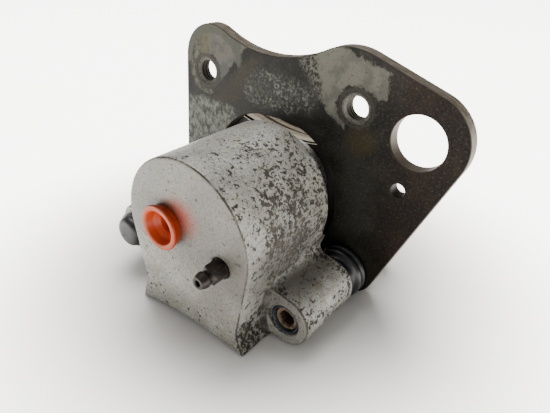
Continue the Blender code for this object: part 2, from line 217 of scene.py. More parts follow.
def bell_outline():
    """Barrel circle whose sides run down, pinch in and flare to two feet with an arch between."""
    x, z = PISTON_AXIS
    left_foot, right_foot = BELL_FOOT
    corners = arc(x, z, BARREL_R, 190.4, -9.7, 100)
    corners += [(28.0, -67.0, 12.0), right_foot]
    corners += arc_by_rise(left_foot, right_foot, ARCH_RISE, 40)[::-1][1:-1]
    corners += [left_foot, (-15.9, -63.5, 14.0)]
    return rounded(corners)


def right_boss_outline():
    x, z = PIN_RIGHT
    corners = [(10, -50), (26.5, -51.3), (30.5, -52.3, 3.0)]
    corners += arc(x, z, BOSS_R, 86, -122, 50)
    corners += [(28.2, -70.4, 2.0), (24.5, -66.5), (10, -66)]
    return rounded(corners)


def left_boss_outline():
    x, z = PIN_LEFT
    corners = [(0, -45), (-18.0, -45.8)]
    corners += arc(x, z, BOSS_R, 100, 290, 46)
    corners += [(-17.0, -66.5), (0, -62)]
    return rounded(corners)


def bridge_underside():
    left, right = BRIDGE_X
    return [p for p in arc_by_rise(*BELL_FOOT, ARCH_RISE, 120) if left < p[0] < right][::-1]


def bridge_outline():
    left, right = BRIDGE_X
    top_left = pin_line(left - PIN_MIDDLE[0], BRIDGE_TOP_V)
    top_right = pin_line(right - PIN_MIDDLE[0], BRIDGE_TOP_V)
    return rounded(bridge_underside() + [(*top_left, 1.5), (*top_right, 1.5)], 10.0)


def fingers_outline():
    """Two outboard fingers rising from the bridge on either side of a tool notch."""
    left, right = BRIDGE_X
    notch = (PISTON_AXIS[0] - 7.3, PISTON_AXIS[0] + 7.3)
    tip_z = -25.0
    corners = bridge_underside()
    corners += [(left, -58.0, 6.0), (-13.5, -49.0, 6.0), (-13.5, tip_z, 5.0)]
    corners += [(notch[0], tip_z, 5.0), (notch[0], -48.0, 7.2)]
    corners += [(notch[1], -48.0, 7.2), (notch[1], tip_z, 5.0)]
    corners += [(26.2, tip_z, 5.0), (26.2, -49.0, 7.0), (right, -60.0, 6.0)]
    return rounded(corners)


def disc_point(radius, x):
    """(x, z) on a circle about the disc's axis, below that axis."""
    axis_x, axis_z = DISC_AXIS
    return x, axis_z - math.sqrt(radius ** 2 - (x - axis_x) ** 2)


def disc_arc(radius, start_x, end_x, steps):
    return [disc_point(radius, start_x + (end_x - start_x) * i / steps) for i in range(steps + 1)]


def pad_top_edge(top_r, left, right):
    corners = [(*disc_point(top_r, left), 5.0)]
    corners += disc_arc(top_r, left + 9, right - 9, 30)
    return corners + [(*disc_point(top_r, right), 5.0)]


def pad_outline(top_r, inset=0.0):
    """Pad layer without ears, both its long edges arcs about the disc's axis."""
    left = PAD_X[0] + inset
    right = PAD_X[1] - inset
    corners = pad_top_edge(top_r, left, right)
    corners += [(*disc_point(PAD_FOOT_R, right), 2.0)]
    corners += disc_arc(PAD_FOOT_R, right - 3, left + 3, 30)
    corners += [(*disc_point(PAD_FOOT_R, left), 2.0)]
    return rounded(corners, 7.0)


def backing_outline(top_r):
    """Steel pad backing with an ear on each slide pin."""
    left, right = PAD_X
    neck = 0.8
    corners = pad_top_edge(top_r, left, right)
    corners += [(right + neck, PIN_RIGHT[1] + 13.5, 3.0)]
    corners += arc(*PIN_RIGHT, EAR_R, 75, -150, 40)
    corners += disc_arc(PAD_FOOT_R, 27.5, -27.0, 30)
    corners += arc(*PIN_LEFT, EAR_R, -30, -255, 40)
    corners += [(left - neck, PIN_LEFT[1] + 13.5, 3.0)]
    return rounded(corners, 7.0)


# ---------------------------------------------------------------- mesh builders
def new_piece(name, mesh, body, node, finish, flat=False):
    """Link a finished mesh as a piece that rides on a body and stands for its CAD node."""
    piece = bpy.data.objects.new(name, mesh)
    bpy.context.scene.collection.objects.link(piece)
    mesh.materials.clear()
    mesh.materials.append(finish)
    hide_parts(node)
    if body:
        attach(piece, body)
    if flat:
        even = piece.modifiers.new("even_shading", "WEIGHTED_NORMAL")
        even.keep_sharp = True
    return piece


def mesh_from_bmesh(name, bm, sharp_angle=35):
    bmesh.ops.remove_doubles(bm, verts=bm.verts, dist=1e-7)
    bmesh.ops.recalc_face_normals(bm, faces=bm.faces)
    mesh = bpy.data.meshes.new(name)
    bm.to_mesh(mesh)
    bm.free()
    mesh.shade_smooth()
    mesh.set_sharp_from_angle(angle=math.radians(sharp_angle))
    return mesh


def slab(name, outline, y_front, y_rear, edge, holes=()):
    """Plate with an XZ outline and holes; its edges are rounded by `edge` millimetres."""
    curve = bpy.data.curves.new(name, "CURVE")
    curve.dimensions = "2D"
    curve.fill_mode = "BOTH"
    for loop in (outline, *holes):
        spline = curve.splines.new("POLY")
        spline.points.add(len(loop) - 1)
        for point, (x, z) in zip(spline.points, loop):
            point.co = (x * MM, z * MM, 0, 1)
        spline.use_cyclic_u = True
    curve.extrude = ((y_rear - y_front) / 2 - edge) * MM
    curve.bevel_depth = edge * MM
    curve.bevel_resolution = 3
    curve.offset = -edge * MM
    holder = bpy.data.objects.new(name, curve)
    bpy.context.scene.collection.objects.link(holder)
    bpy.context.view_layer.update()
    graph = bpy.context.evaluated_depsgraph_get()
    mesh = bpy.data.meshes.new_from_object(holder.evaluated_get(graph))
    bpy.data.objects.remove(holder)
    middle = Matrix.Translation((0, (y_front + y_rear) / 2 * MM, 0))
    mesh.transform(middle @ Matrix.Rotation(math.radians(90), 4, "X"))
    bm = bmesh.new()
    bm.from_mesh(mesh)
    bpy.data.meshes.remove(mesh)
    return mesh_from_bmesh(name, bm)


def polygon_factor(sides, angle):
    """Radius of a regular polygon against its inscribed circle, at an angle."""
    step = 2 * math.pi / sides
    return 1 / math.cos((angle % step) - step / 2)


def smooth_profile(points, count=6):
    """Catmull-Rom curve through profile points (r, y)."""
    result = []
    for i in range(len(points) - 1):
        p0 = np.array(points[max(i - 1, 0)])
        p1 = np.array(points[i])
        p2 = np.array(points[i + 1])
        p3 = np.array(points[min(i + 2, len(points) - 1)])
        for k in range(count):
            t = k / count
            value = 0.5 * (2 * p1 + (p2 - p0) * t + (2 * p0 - 5 * p1 + 4 * p2 - p3) * t ** 2
                           + (3 * p1 - p0 - 3 * p2 + p3) * t ** 3)
            result.append(tuple(value))
    result.append(tuple(points[-1]))
    return result


def turned(name, profile, axis, steps=72, closed=False, sharp_angle=35):
    """Piece turned round the Y axis through axis; profile holds (r, y) or (r, y, sides).

    With sides, that ring is a regular polygon with inscribed radius r.
    """
    bm = bmesh.new()
    rings = []
    for entry in profile:
        radius, y = entry[:2]
        sides = entry[2] if len(entry) == 3 else 0
        ring = []
        for i in range(steps):
            angle = 2 * math.pi * i / steps
            r = radius * polygon_factor(sides, angle) if sides else radius
            place = (axis[0] + r * math.cos(angle), y, axis[1] + r * math.sin(angle))
            ring.append(bm.verts.new(Vector(place) * MM))
            if radius == 0:
                ring = ring * steps
                break
        rings.append(ring)
    pairs = list(zip(rings, rings[1:]))
    if closed:
        pairs.append((rings[-1], rings[0]))
    for a, b in pairs:
        for i in range(steps):
            j = (i + 1) % steps
            corners = list(dict.fromkeys((a[i], a[j], b[j], b[i])))
            if len(corners) > 2:
                bm.faces.new(corners)
    return mesh_from_bmesh(name, bm, sharp_angle)


# ---------------------------------------------------------------- cast body as a distance field
class Field:
    """Distance field on a grid, in millimetres, made of shapes extruded along Y."""

    def __init__(self, low, high, pitch):
        self.pitch = pitch
        self.low = np.array(low, float)
        counts = np.ceil((np.array(high) - self.low) / pitch).astype(int) + 1
        self.x, self.y, self.z = [self.low[i] + pitch * np.arange(counts[i]) for i in range(3)]
        self.plane = np.stack(np.meshgrid(self.x, self.z, indexing="ij"), -1).reshape(-1, 2)
        self.values = np.full(counts, 1e3, np.float32)

    def outline(self, points):
        """Signed distance in the XZ plane to a closed outline, negative inside."""
        a = np.array(points)
        b = np.roll(a, -1, axis=0)
        nearest = np.full(len(self.plane), 1e9)
        inside = np.zeros(len(self.plane), bool)
        for p, q in zip(a, b):
            edge = q - p
            away = self.plane - p
            t = np.clip(away @ edge / max(edge @ edge, 1e-12), 0, 1)
            nearest = np.minimum(nearest, ((away - t[:, None] * edge) ** 2).sum(1))
            crosses = (p[1] > self.plane[:, 1]) != (q[1] > self.plane[:, 1])
            if crosses.any() and edge[1] != 0:
                at = p[0] + (self.plane[:, 1] - p[1]) * edge[0] / edge[1]
                inside ^= crosses & (self.plane[:, 0] < at)
        distance = np.sqrt(nearest)
        distance[inside] *= -1
        return distance.reshape(len(self.x), len(self.z))

    def disc(self, x, z, radius):
        distance = np.hypot(self.plane[:, 0] - x, self.plane[:, 1] - z) - radius
        return distance.reshape(len(self.x), len(self.z))

    def extruded(self, flat, y_front, y_rear, edge=0.0):
        """3-D distance of a flat shape between two Y planes, its edges rounded."""
        d = flat[:, None, :].astype(np.float32) + edge
        w = (np.abs(self.y - (y_front + y_rear) / 2) - (y_rear - y_front) / 2 + edge)
        w = w[None, :, None].astype(np.float32)
        inner = np.minimum(np.maximum(d, w), 0)
        return inner + np.hypot(np.maximum(d, 0), np.maximum(w, 0)) - edge

    def join(self, other, fillet):
        blend = np.maximum(fillet - np.abs(self.values - other), 0)
        self.values = np.minimum(self.values, other) - blend ** 2 / (4 * fillet)

    def cut(self, other, edge=0.25):
        blend = np.maximum(edge - np.abs(self.values + other), 0)
        self.values = np.maximum(self.values, -other) + blend ** 2 / (4 * edge)

    def mesh(self, name):
        """Surface-net mesh of the zero level."""
        v = self.values
        inside = v < 0
        shape = np.array(v.shape) - 1
        total = np.zeros((*shape, 3), np.float32)
        count = np.zeros(shape, np.float32)
        corners = [(i, j, k) for i in (0, 1) for j in (0, 1) for k in (0, 1)]
        view = lambda field, c: field[c[0]:c[0] + shape[0], c[1]:c[1] + shape[1],
                                      c[2]:c[2] + shape[2]]
        for c in corners:
            for axis in range(3):
                if c[axis]:
                    continue
                d = list(c)
                d[axis] = 1
                va = view(v, c)
                vb = view(v, d)
                where = np.nonzero(view(inside, c) != view(inside, d))
                t = va[where] / (va[where] - vb[where])
                spot = np.array(c, np.float32)[None, :].repeat(len(t), 0)
                spot[:, axis] += t
                total[where] += spot
                count[where] += 1
        cells = np.nonzero(count)
        index = np.full(tuple(shape), -1, np.int64)
        index[cells] = np.arange(len(cells[0]))
        verts = (np.stack(cells, 1) + total[cells] / count[cells][:, None]) * self.pitch + self.low
        quads = []
        for axis in range(3):
            one, two = [(1, 2), (2, 0), (0, 1)][axis]
            low = [slice(1, n) for n in shape]
            low[axis] = slice(0, shape[axis])
            high = list(low)
            high[axis] = slice(1, shape[axis] + 1)
            a = inside[tuple(low)]
            b = inside[tuple(high)]
            at = np.stack(np.nonzero(a != b), 1)
            flip = ~a[tuple(at.T)]
            at[:, one] += 1
            at[:, two] += 1
            steps = []
            for u, w in ((0, 0), (1, 0), (1, 1), (0, 1)):
                cell = at.copy()
                cell[:, one] -= u
                cell[:, two] -= w
                steps.append(index[tuple(cell.T)])
            quad = np.stack(steps, 1)
            quad[flip] = quad[flip][:, ::-1]
            quads.append(quad)
        faces = np.concatenate(quads)
        mesh = bpy.data.meshes.new(name)
        mesh.vertices.add(len(verts))
        mesh.vertices.foreach_set("co", (verts * MM).astype(np.float32).ravel())
        mesh.loops.add(faces.size)
        mesh.loops.foreach_set("vertex_index", faces.astype(np.int32).ravel())
        mesh.polygons.add(len(faces))
        mesh.polygons.foreach_set("loop_start", np.arange(0, faces.size, 4, dtype=np.int32))
        mesh.update(calc_edges=True)
        mesh.validate()
        return mesh


def body_mesh():
    """Cast body: barrel, bosses, bridge and fingers blended with cast fillets, then bored."""
    low, high = node_box("caliper_body")
    pitch = 0.5
    field = Field(low - 1.7, high + 1.7, pitch)
    bell = field.outline(bell_outline())
    field.values = field.extruded(bell, FACE_Y, BARREL_REAR, 0.55)
    for outline in (right_boss_outline(), left_boss_outline()):
        boss = field.extruded(field.outline(outline), BOSS_FRONT, BOSS_REAR, 0.8)
        field.join(boss, 4.0)
    bridge = field.outline(bridge_outline())
    field.join(field.extruded(bridge, BARREL_REAR - 6, FINGER_FRONT + 4, 0.8), 1.5)
    fingers = field.outline(fingers_outline())
    field.join(field.extruded(fingers, FINGER_FRONT, FINGER_REAR, 1.6), 2.0)
    x, z = PISTON_AXIS
    groove_r, groove_front, groove_rear = SEAL_GROOVE
    seat_r, seat_front = DUST_SEAT
    field.cut(field.extruded(field.disc(x, z, BORE_R), BORE_BOTTOM, BARREL_REAR + 2))
    field.cut(field.extruded(field.disc(x, z, groove_r), groove_front, groove_rear))
    field.cut(field.extruded(field.disc(x, z, seat_r), seat_front, BARREL_REAR + 2))
    field.cut(field.extruded(field.disc(*INLET, PORT_R), FACE_Y - 2, BORE_BOTTOM + 1))
    field.cut(field.extruded(field.disc(*BLEEDER, BLEED_HOLE_R), FACE_Y - 2, BLEEDER_SEAT))
    for pin in (PIN_RIGHT, PIN_LEFT):
        bore = field.extruded(field.disc(*pin, BOSS_BORE_R), BOSS_FRONT - 2, BOSS_REAR + 2)
        field.cut(bore, 0.6)
    return field.mesh("caliper_body_cast")


# ---------------------------------------------------------------- materials
def srgb(red, green, blue):
    """Linear colour of an 8-bit display colour."""
    linear = []
    for value in (red, green, blue):
        c = value / 255
        linear.append(c / 12.92 if c <= 0.04045 else ((c + 0.055) / 1.055) ** 2.4)
    return (*linear, 1.0)


class Finish:
    """A material and short names for the nodes it is made of; places are millimetres."""

    def __init__(self, name, roughness=0.5, metallic=0.0):
        self.tone = None
        self.material = bpy.data.materials.new(name)
        self.material.use_nodes = True
        self.tree = self.material.node_tree
        self.shader = self.tree.nodes["Principled BSDF"]
        self.shader.inputs["Roughness"].default_value = roughness
        self.shader.inputs["Metallic"].default_value = metallic
        coords = self.tree.nodes.new("ShaderNodeTexCoord")
        scaled = self.add("ShaderNodeVectorMath", {0: coords.outputs["Object"], 1: (1000,) * 3},
                          operation="MULTIPLY")
        self.place = scaled.outputs[0]
        self.x, self.y, self.z = self.add("ShaderNodeSeparateXYZ", {0: self.place}).outputs

    def add(self, kind, inputs, **settings):
        node = self.tree.nodes.new(kind)
        for name, value in settings.items():
            setattr(node, name, value)
        for key, value in inputs.items():
            if isinstance(value, bpy.types.NodeSocket):
                self.tree.links.new(value, node.inputs[key])
            else:
                node.inputs[key].default_value = value
        return node

    def math(self, operation, a, b=0.0):
        return self.add("ShaderNodeMath", {0: a, 1: b}, operation=operation).outputs[0]

    def chain(self, operation, values):
        result = values[0]
        for value in values[1:]:
            result = self.math(operation, result, value)
        return result

    def plus(self, *values):
        return self.chain("ADD", values)

    def minus(self, a, b):
        return self.math("SUBTRACT", a, b)

    def times(self, *values):
        return self.chain("MULTIPLY", values)

    def lowest(self, *values):
        return self.chain("MINIMUM", values)

    def highest(self, *values):
        return self.chain("MAXIMUM", values)

    def noise(self, size, detail=3.0, rough=0.55, stretch=(1, 1, 1), shift=0.0):
        """Noise from 0 to 1 whose blotches are about `size` millimetres."""
        place = self.place
        if stretch != (1, 1, 1) or shift:
            place = self.add("ShaderNodeMapping", {"Vector": place, "Scale": stretch,
                                                   "Location": (shift, shift, shift)}).outputs[0]
        return self.add("ShaderNodeTexNoise", {"Vector": place, "Scale": 1 / size,
                                               "Detail": detail, "Roughness": rough}).outputs[0]

    def step(self, value, low, high):
        """0 at low and 1 at high, smooth between; low may be the larger of the two."""
        return self.add("ShaderNodeMapRange", {0: value, 1: low, 2: high, 3: 0.0, 4: 1.0},
                        interpolation_type="SMOOTHSTEP").outputs[0]

    def frayed(self, value, noise, amount, low, high):
        """Step whose edge wanders with a noise of that amount."""
        return self.step(self.plus(value, self.times(noise, amount)), low, high)

    def patch(self, centre, radii, core):
        """Soft spot: 0 at the ellipsoid's surface and outside, 1 where blob reaches core."""
        return self.step(self.blob(centre, radii), 0.0, core)

    def fade(self, value, low, high, bottom, top):
        """Straight run from bottom at low to top at high."""
        return self.add("ShaderNodeMapRange", {0: value, 1: low, 2: high, 3: bottom,
                                               4: top}).outputs[0]

    def mix(self, factor, a, b):
        """Colour a where factor is 0 and b where it is 1."""
        node = self.tree.nodes.new("ShaderNodeMix")
        node.data_type = "RGBA"
        for index, value in ((0, factor), (6, a), (7, b)):
            if isinstance(value, bpy.types.NodeSocket):
                self.tree.links.new(value, node.inputs[index])
            else:
                node.inputs[index].default_value = value
        return node.outputs[2]

    def paint(self, colour, mask, strength=None):
        """Lay a colour over the finish where mask is 1, at most as strongly as stated."""
        factor = mask if strength is None else self.times(mask, strength)
        self.tone = self.mix(factor, self.tone, colour)

    def radius(self, x, z):
        """Distance in the XZ plane from a point."""
        dx = self.minus(self.x, x)
        dz = self.minus(self.z, z)
        return self.math("SQRT", self.plus(self.times(dx, dx), self.times(dz, dz)))

    def side_of(self, start, end):
        """Distance to the left of the XZ line from start to end, in millimetres."""
        dx = end[0] - start[0]
        dz = end[1] - start[1]
        length = math.hypot(dx, dz)
        across = self.plus(self.times(self.x, -dz / length), self.times(self.z, dx / length))
        return self.plus(across, (start[0] * dz - start[1] * dx) / length)

    def blob(self, centre, radii):
        """1 at the centre (x, y, z), 0 on the ellipsoid of those radii and negative outside."""
        scaled = self.add("ShaderNodeVectorMath", {0: self.place, 1: centre},
                          operation="SUBTRACT").outputs[0]
        scaled = self.add("ShaderNodeVectorMath", {0: scaled, 1: tuple(1 / r for r in radii)},
                          operation="MULTIPLY").outputs[0]
        length = self.add("ShaderNodeVectorMath", {0: scaled}, operation="LENGTH").outputs[1]
        return self.minus(1.0, length)

    def normal(self):
        geometry = self.tree.nodes.new("ShaderNodeNewGeometry")
        return self.add("ShaderNodeSeparateXYZ", {0: geometry.outputs["Normal"]}).outputs

    def set(self, socket, value):
        if isinstance(value, bpy.types.NodeSocket):
            self.tree.links.new(value, self.shader.inputs[socket])
        else:
            self.shader.inputs[socket].default_value = value

    def bump(self, height, distance, strength=1.0):
        """Relief of height 0..1 over `distance` millimetres."""
        node = self.add("ShaderNodeBump", {"Height": height, "Distance": distance * MM,
                                           "Strength": strength})
        self.tree.links.new(node.outputs[0], self.shader.inputs["Normal"])


def cast_paint():
    """Silver paint on a sand-cast body, chipped to dark corrosion on one flank; painted shade
    darkens that flank and the face's top, and a painted red glow lies beside the plug.
    """
    f = Finish("cast_paint", 0.46, 0.1)
    n_y = f.normal()[1]
    x, z = PISTON_AXIS
    face = f.step(n_y, -0.75, -0.97)
    fine = f.noise(0.9, 4, 0.6)
    scratch = f.noise(1.3, 4, 0.65, stretch=(0.35, 1.0, 1.6), shift=41)
    f.tone = f.mix(f.step(f.noise(14, 3), 0.4, 0.62), srgb(156, 156, 150), srgb(130, 129, 121))
    cream = f.step(f.noise(6, 4, 0.6, shift=31), 0.5, 0.66)
    f.paint(srgb(150, 145, 124), cream, 0.55)
    f.paint(srgb(116, 113, 103), f.step(fine, 0.48, 0.62), 0.55)
    f.paint(srgb(188, 187, 181), f.step(scratch, 0.54, 0.7), 0.4)
    # chips: small irregular flakes, crowded on the flank towards the rear and the big-hole side
    flank = f.fade(f.minus(f.x, x), -12.0, 24.5, 0.0, 1.0)
    rearward = f.fade(f.y, -56.0, -34.0, 0.4, 1.0)
    crowd = f.times(flank, rearward)
    crowd = f.times(crowd, f.fade(f.z, -66.0, -54.0, 0.55, 1.0))
    crowd = f.plus(crowd, f.times(f.patch((x + 27, -32, z - 1), (17, 19, 15), 0.8), 0.45))
    crowd = f.highest(crowd, f.times(f.patch((30, -42, -68), (9, 22, 12), 0.45), 1.25))
    boss = f.step(f.blob((38, -26, -58), (14, 20, 12)), 0.05, 0.6)
    crowd = f.highest(f.minus(crowd, f.times(boss, 0.75)), f.times(boss, 0.12))
    crowd = f.times(crowd, f.minus(1.0, f.times(face, 0.8)))
    crowd = f.highest(crowd, f.times(face, f.fade(f.z, -70.0, -38.0, 0.12, -0.15)))
    drift = f.times(f.minus(f.noise(10, 2, 0.5, shift=7), 0.5), 0.22)
    bar = f.minus(f.minus(0.65, f.times(crowd, 0.115)), drift)
    flake = f.noise(1.7, 4, 0.6, stretch=(1.0, 0.85, 1.0), shift=3)
    small = f.noise(0.95, 4, 0.62, shift=12)
    chip = f.highest(f.step(f.minus(flake, bar), -0.004, 0.016),
                     f.step(f.minus(small, f.plus(bar, 0.012)), 0.0, 0.022))
    rust = f.mix(f.step(f.noise(3.0, 3, shift=5), 0.42, 0.62), srgb(30, 28, 23), srgb(54, 49, 40))
    rust = f.mix(f.times(f.step(fine, 0.52, 0.62), 0.6), rust, srgb(90, 84, 73))
    halo = f.step(f.minus(flake, bar), -0.05, 0.0)
    f.paint(srgb(124, 121, 112), f.times(halo, f.fade(crowd, 0.0, 1.0, 0.15, 0.5)))
    # painted shade: the flank's lee side, turned away from the key light, darkened in the paint
    # colour itself
    lee = f.patch((x + 28, -34, z - 6), (19, 30, 26), 0.75)
    f.paint(srgb(62, 61, 56), lee, 0.82)
    f.paint(rust, chip)
    # grime on the boss, a bluish stain in the valley beside it, painted shade on the face's top, a
    # painted red glow beside the plug
    dirt = f.times(boss, f.step(f.noise(3.0, 5, 0.66, stretch=(1, 0.55, 1), shift=19), 0.46, 0.58))
    f.paint(srgb(104, 96, 78), dirt, 0.45)
    valley = f.patch((27.5, -30, -54), (7, 24, 6), 0.8)
    f.paint(srgb(138, 146, 142), valley, 0.5)
    # painted shade: the face darkened towards its top, where less light bounces up from the floor
    shade = f.times(face,
                    f.fade(f.plus(f.z, f.times(f.minus(f.x, x), 0.35)), -60.0, -40.0, 0.08, 1.0))
    f.paint(srgb(66, 63, 56), shade, 0.8)
    grain = f.step(f.noise(0.75, 4, 0.7, shift=90), 0.53, 0.62)
    f.paint(srgb(66, 63, 55), f.times(grain, f.plus(face, shade)), 0.35)
    # painted light: a reddish glow on the face beside the plug, for light passed through and
    # bounced off the orange plastic
    painted_plug_glow = f.patch((INLET[0] + 6.5, FACE_Y, INLET[1] + 5.0), (11, 6, 10), 0.9)
    f.paint(srgb(140, 52, 34), painted_plug_glow, 0.72)
    dots = f.step(f.noise(0.75, 3, 0.6, shift=83), 0.61, 0.64)
    f.paint(srgb(44, 42, 36), dots, 0.85)
    # worn dark line along the machined rims
    tilt = f.math("ABSOLUTE", n_y)
    rim = f.times(f.step(tilt, 0.15, 0.4), f.step(tilt, 0.98, 0.86))
    f.paint(srgb(48, 45, 39), f.times(rim, f.fade(f.noise(5, 3, shift=2), 0.35, 0.55, 0.45, 1.0)))
    bored = f.times(f.step(f.radius(x, z), 20.2, 19.8), f.step(f.y, -52.9, -52.5))
    f.paint(srgb(150, 150, 148), bored)
    f.set("Base Color", f.tone)
    f.set("Roughness", f.fade(f.plus(fine, chip), 0.35, 1.5, 0.42, 0.8))
    relief = f.minus(f.plus(f.times(fine, 0.22), f.times(f.noise(4, 3), 0.25)), f.times(chip, 0.5))
    f.bump(relief, 0.35, 0.9)
    return f.material


def worn_plate():
    """Steel plate: bare grey prints where the knuckle's lugs sat, oil-dark and rusty elsewhere."""
    f = Finish("worn_plate", 0.55, 0.25)
    n_y = f.normal()[1]
    face = f.step(f.math("ABSOLUTE", n_y), 0.8, 0.95)
    ragged = f.times(f.minus(f.noise(2.6, 6, 0.7), 0.5), 9.0)
    soft = f.times(f.minus(f.noise(8.0, 3, 0.5, shift=11), 0.5), 9.0)
    fine = f.noise(0.8, 4, 0.65)
    cloud = f.noise(12, 4, 0.6, shift=4)
    hole_left = f.radius(-BOLT_X, 0)
    hole_right = f.radius(BOLT_X, 0)
    dark = f.mix(f.step(cloud, 0.4, 0.62), srgb(18, 18, 16), srgb(32, 31, 28))
    brown = f.mix(f.step(cloud, 0.38, 0.62), srgb(18, 13, 10), srgb(29, 21, 15))
    f.tone = f.mix(f.frayed(f.x, soft, 1.2, 42.0, 54.0), dark, brown)
    olive = f.frayed(f.blob((38, 0, -11), (9, 30, 7)), soft, 0.06, 0.0, 0.8)
    f.paint(srgb(44, 38, 24), olive, 0.8)
    # lighter steel left of the diagonal band: streaks, specks and a mottled middle
    specks = f.step(f.noise(1.3, 5, 0.7, shift=8), 0.48, 0.6)
    middle = f.frayed(f.blob((1, 0, -1.5), (22, 30, 9)), soft, 0.07, 0.0, 0.45)
    f.paint(srgb(42, 43, 39), middle, 0.5)
    uneven = f.fade(f.noise(7, 2, shift=44), 0.4, 0.6, 0.2, 0.8)
    f.paint(srgb(100, 103, 95), f.times(middle, specks, uneven))
    f.paint(srgb(56, 56, 51), f.times(middle, f.step(f.noise(1.6, 4, shift=33), 0.56, 0.64)), 0.7)
    streaks = f.step(f.noise(1.9, 5, 0.68, stretch=(1, 1, 0.6), shift=15), 0.4, 0.6)
    lower = f.lowest(f.times(f.plus(f.x, 17.5), -1.0), f.times(f.plus(f.z, 10.0), -1.0))
    lower = f.frayed(lower, soft, 0.8, 0.0, 3.0)
    f.paint(srgb(48, 50, 46), lower, 0.5)
    f.paint(srgb(94, 97, 89), f.times(lower, streaks), 0.85)
    # bare prints of the lugs round each bolt hole
    right = f.lowest(f.minus(45.4, f.x), f.side_of((16.5, 15), (22.5, -3.5)),
                     f.minus(hole_right, 7.3), f.side_of((22, -3.0), (27, -5.5)),
                     f.side_of((46, 13.5), (31, 18.2)), f.plus(f.z, 6.5))
    lee = f.highest(f.minus(f.z, 4.6), f.minus(28.8, f.x))
    right = f.lowest(right, lee)
    bare = f.frayed(right, ragged, 0.8, -0.2, 0.9)
    fringe = f.lowest(f.side_of((9, 12), (21, -3)), f.minus(23.5, f.x), f.plus(f.z, 1.5))
    fringe = f.times(f.frayed(fringe, ragged, 0.5, -0.3, 2.2),
                     f.step(f.noise(1.5, 5, 0.7, shift=51), 0.46, 0.53))
    bare = f.highest(bare, f.times(fringe, 0.9))
    tip = f.lowest(f.side_of((24.5, -4.6), (30.5, -8.2)), f.side_of((31.0, -6.0), (24.5, -1.0)),
                   f.minus(f.x, 23.5), f.minus(31.0, f.x))
    bare = f.highest(bare, f.times(f.frayed(tip, ragged, 0.3, -0.3, 0.8), 0.8))
    left = f.lowest(f.side_of((-27.5, -3.0), (-14.0, 12.0)), f.minus(hole_left, 7.2),
                    f.times(f.plus(f.x, 33.0), 0.5), f.plus(f.z, 3.0))
    left = f.frayed(left, ragged, 0.55, -0.5, 0.9)
    crescent = f.lowest(f.minus(hole_left, 6.8), f.minus(9.3, hole_left),
                        f.side_of((-30.5, -9), (-39.5, 9)))
    crescent = f.frayed(crescent, ragged, 0.3, -0.4, 0.6)
    lobe = f.lowest(f.plus(f.x, 42.0), f.minus(-31.5, f.x), f.minus(f.z, 6.5))
    lobe = f.times(f.frayed(lobe, ragged, 0.5, 0.0, 1.6), 0.8)
    grey = f.mix(f.step(f.noise(6, 3, shift=21), 0.42, 0.6), srgb(72, 72, 66), srgb(86, 85, 77))
    f.paint(grey, bare)
    cool = f.mix(f.step(f.noise(5, 3, shift=25), 0.42, 0.6), srgb(68, 70, 66), srgb(82, 80, 75))
    f.paint(cool, left)
    patchy = f.step(f.noise(1.8, 5, 0.7, shift=71), 0.42, 0.56)
    rim_print = f.times(f.highest(crescent, lobe), f.fade(patchy, 0.0, 1.0, 0.25, 0.85))
    f.paint(srgb(88, 88, 77), rim_print)
    stripe = f.lowest(f.plus(f.x, 38.0), f.minus(-32.2, f.x), f.minus(f.z, 4.5))
    stripe = f.frayed(stripe, soft, 0.5, -1.2, 2.6)
    f.paint(srgb(76, 71, 55), stripe, 0.62)
    bare = f.highest(bare, left, crescent, lobe)
    pits = f.step(f.noise(1.2, 4, 0.7, shift=9), 0.6, 0.66)
    f.paint(srgb(62, 61, 54), f.times(pits, bare), 0.8)
    # dark border inside the outline of the left lobe and the saddle beside it
    lobe_rim = f.times(f.step(f.radius(-30.6, 2.7), 11.2, 13.4), f.step(f.z, -2.0, 6.0))
    lobe_rim = f.times(lobe_rim, f.step(f.x, -12.0, -20.0))
    f.paint(srgb(66, 67, 60), f.frayed(lobe_rim, ragged, 0.12, 0.35, 0.75), 0.8)
    # oil-dark diagonal band between the prints and the streaks
    band = f.lowest(f.side_of((-12.0, 11.5), (-28.5, -5.5)), f.side_of((-20, -14), (-7, 6)),
                    f.minus(11.0, f.z), f.plus(f.z, 12.5))
    band = f.frayed(band, soft, 0.5, 0.0, 3.0)
    f.paint(srgb(38, 35, 27), band, 0.85)
    # dark ring round each bolt hole
    for distance in (hole_left, hole_right):
        ring = f.lowest(f.minus(distance, 5.6), f.minus(7.1, distance))
        ring = f.frayed(ring, ragged, 0.28, -0.25, 0.45)
        f.paint(srgb(44, 43, 38), ring, 0.85)
    # black pitting near the right-hand edge
    corner = f.frayed(f.blob((68, 0, -8), (17, 30, 30)), soft, 0.05, 0.05, 0.5)
    pit = f.step(f.noise(1.9, 4, 0.62, shift=27), 0.53, 0.58)
    f.paint(srgb(26, 22, 20), f.times(corner, pit), 0.85)
    f.paint(srgb(88, 83, 74), f.step(fine, 0.5, 0.68), 0.22)
    f.paint(srgb(30, 29, 26), f.step(f.noise(1.0, 4, 0.7, shift=61), 0.55, 0.65), 0.35)
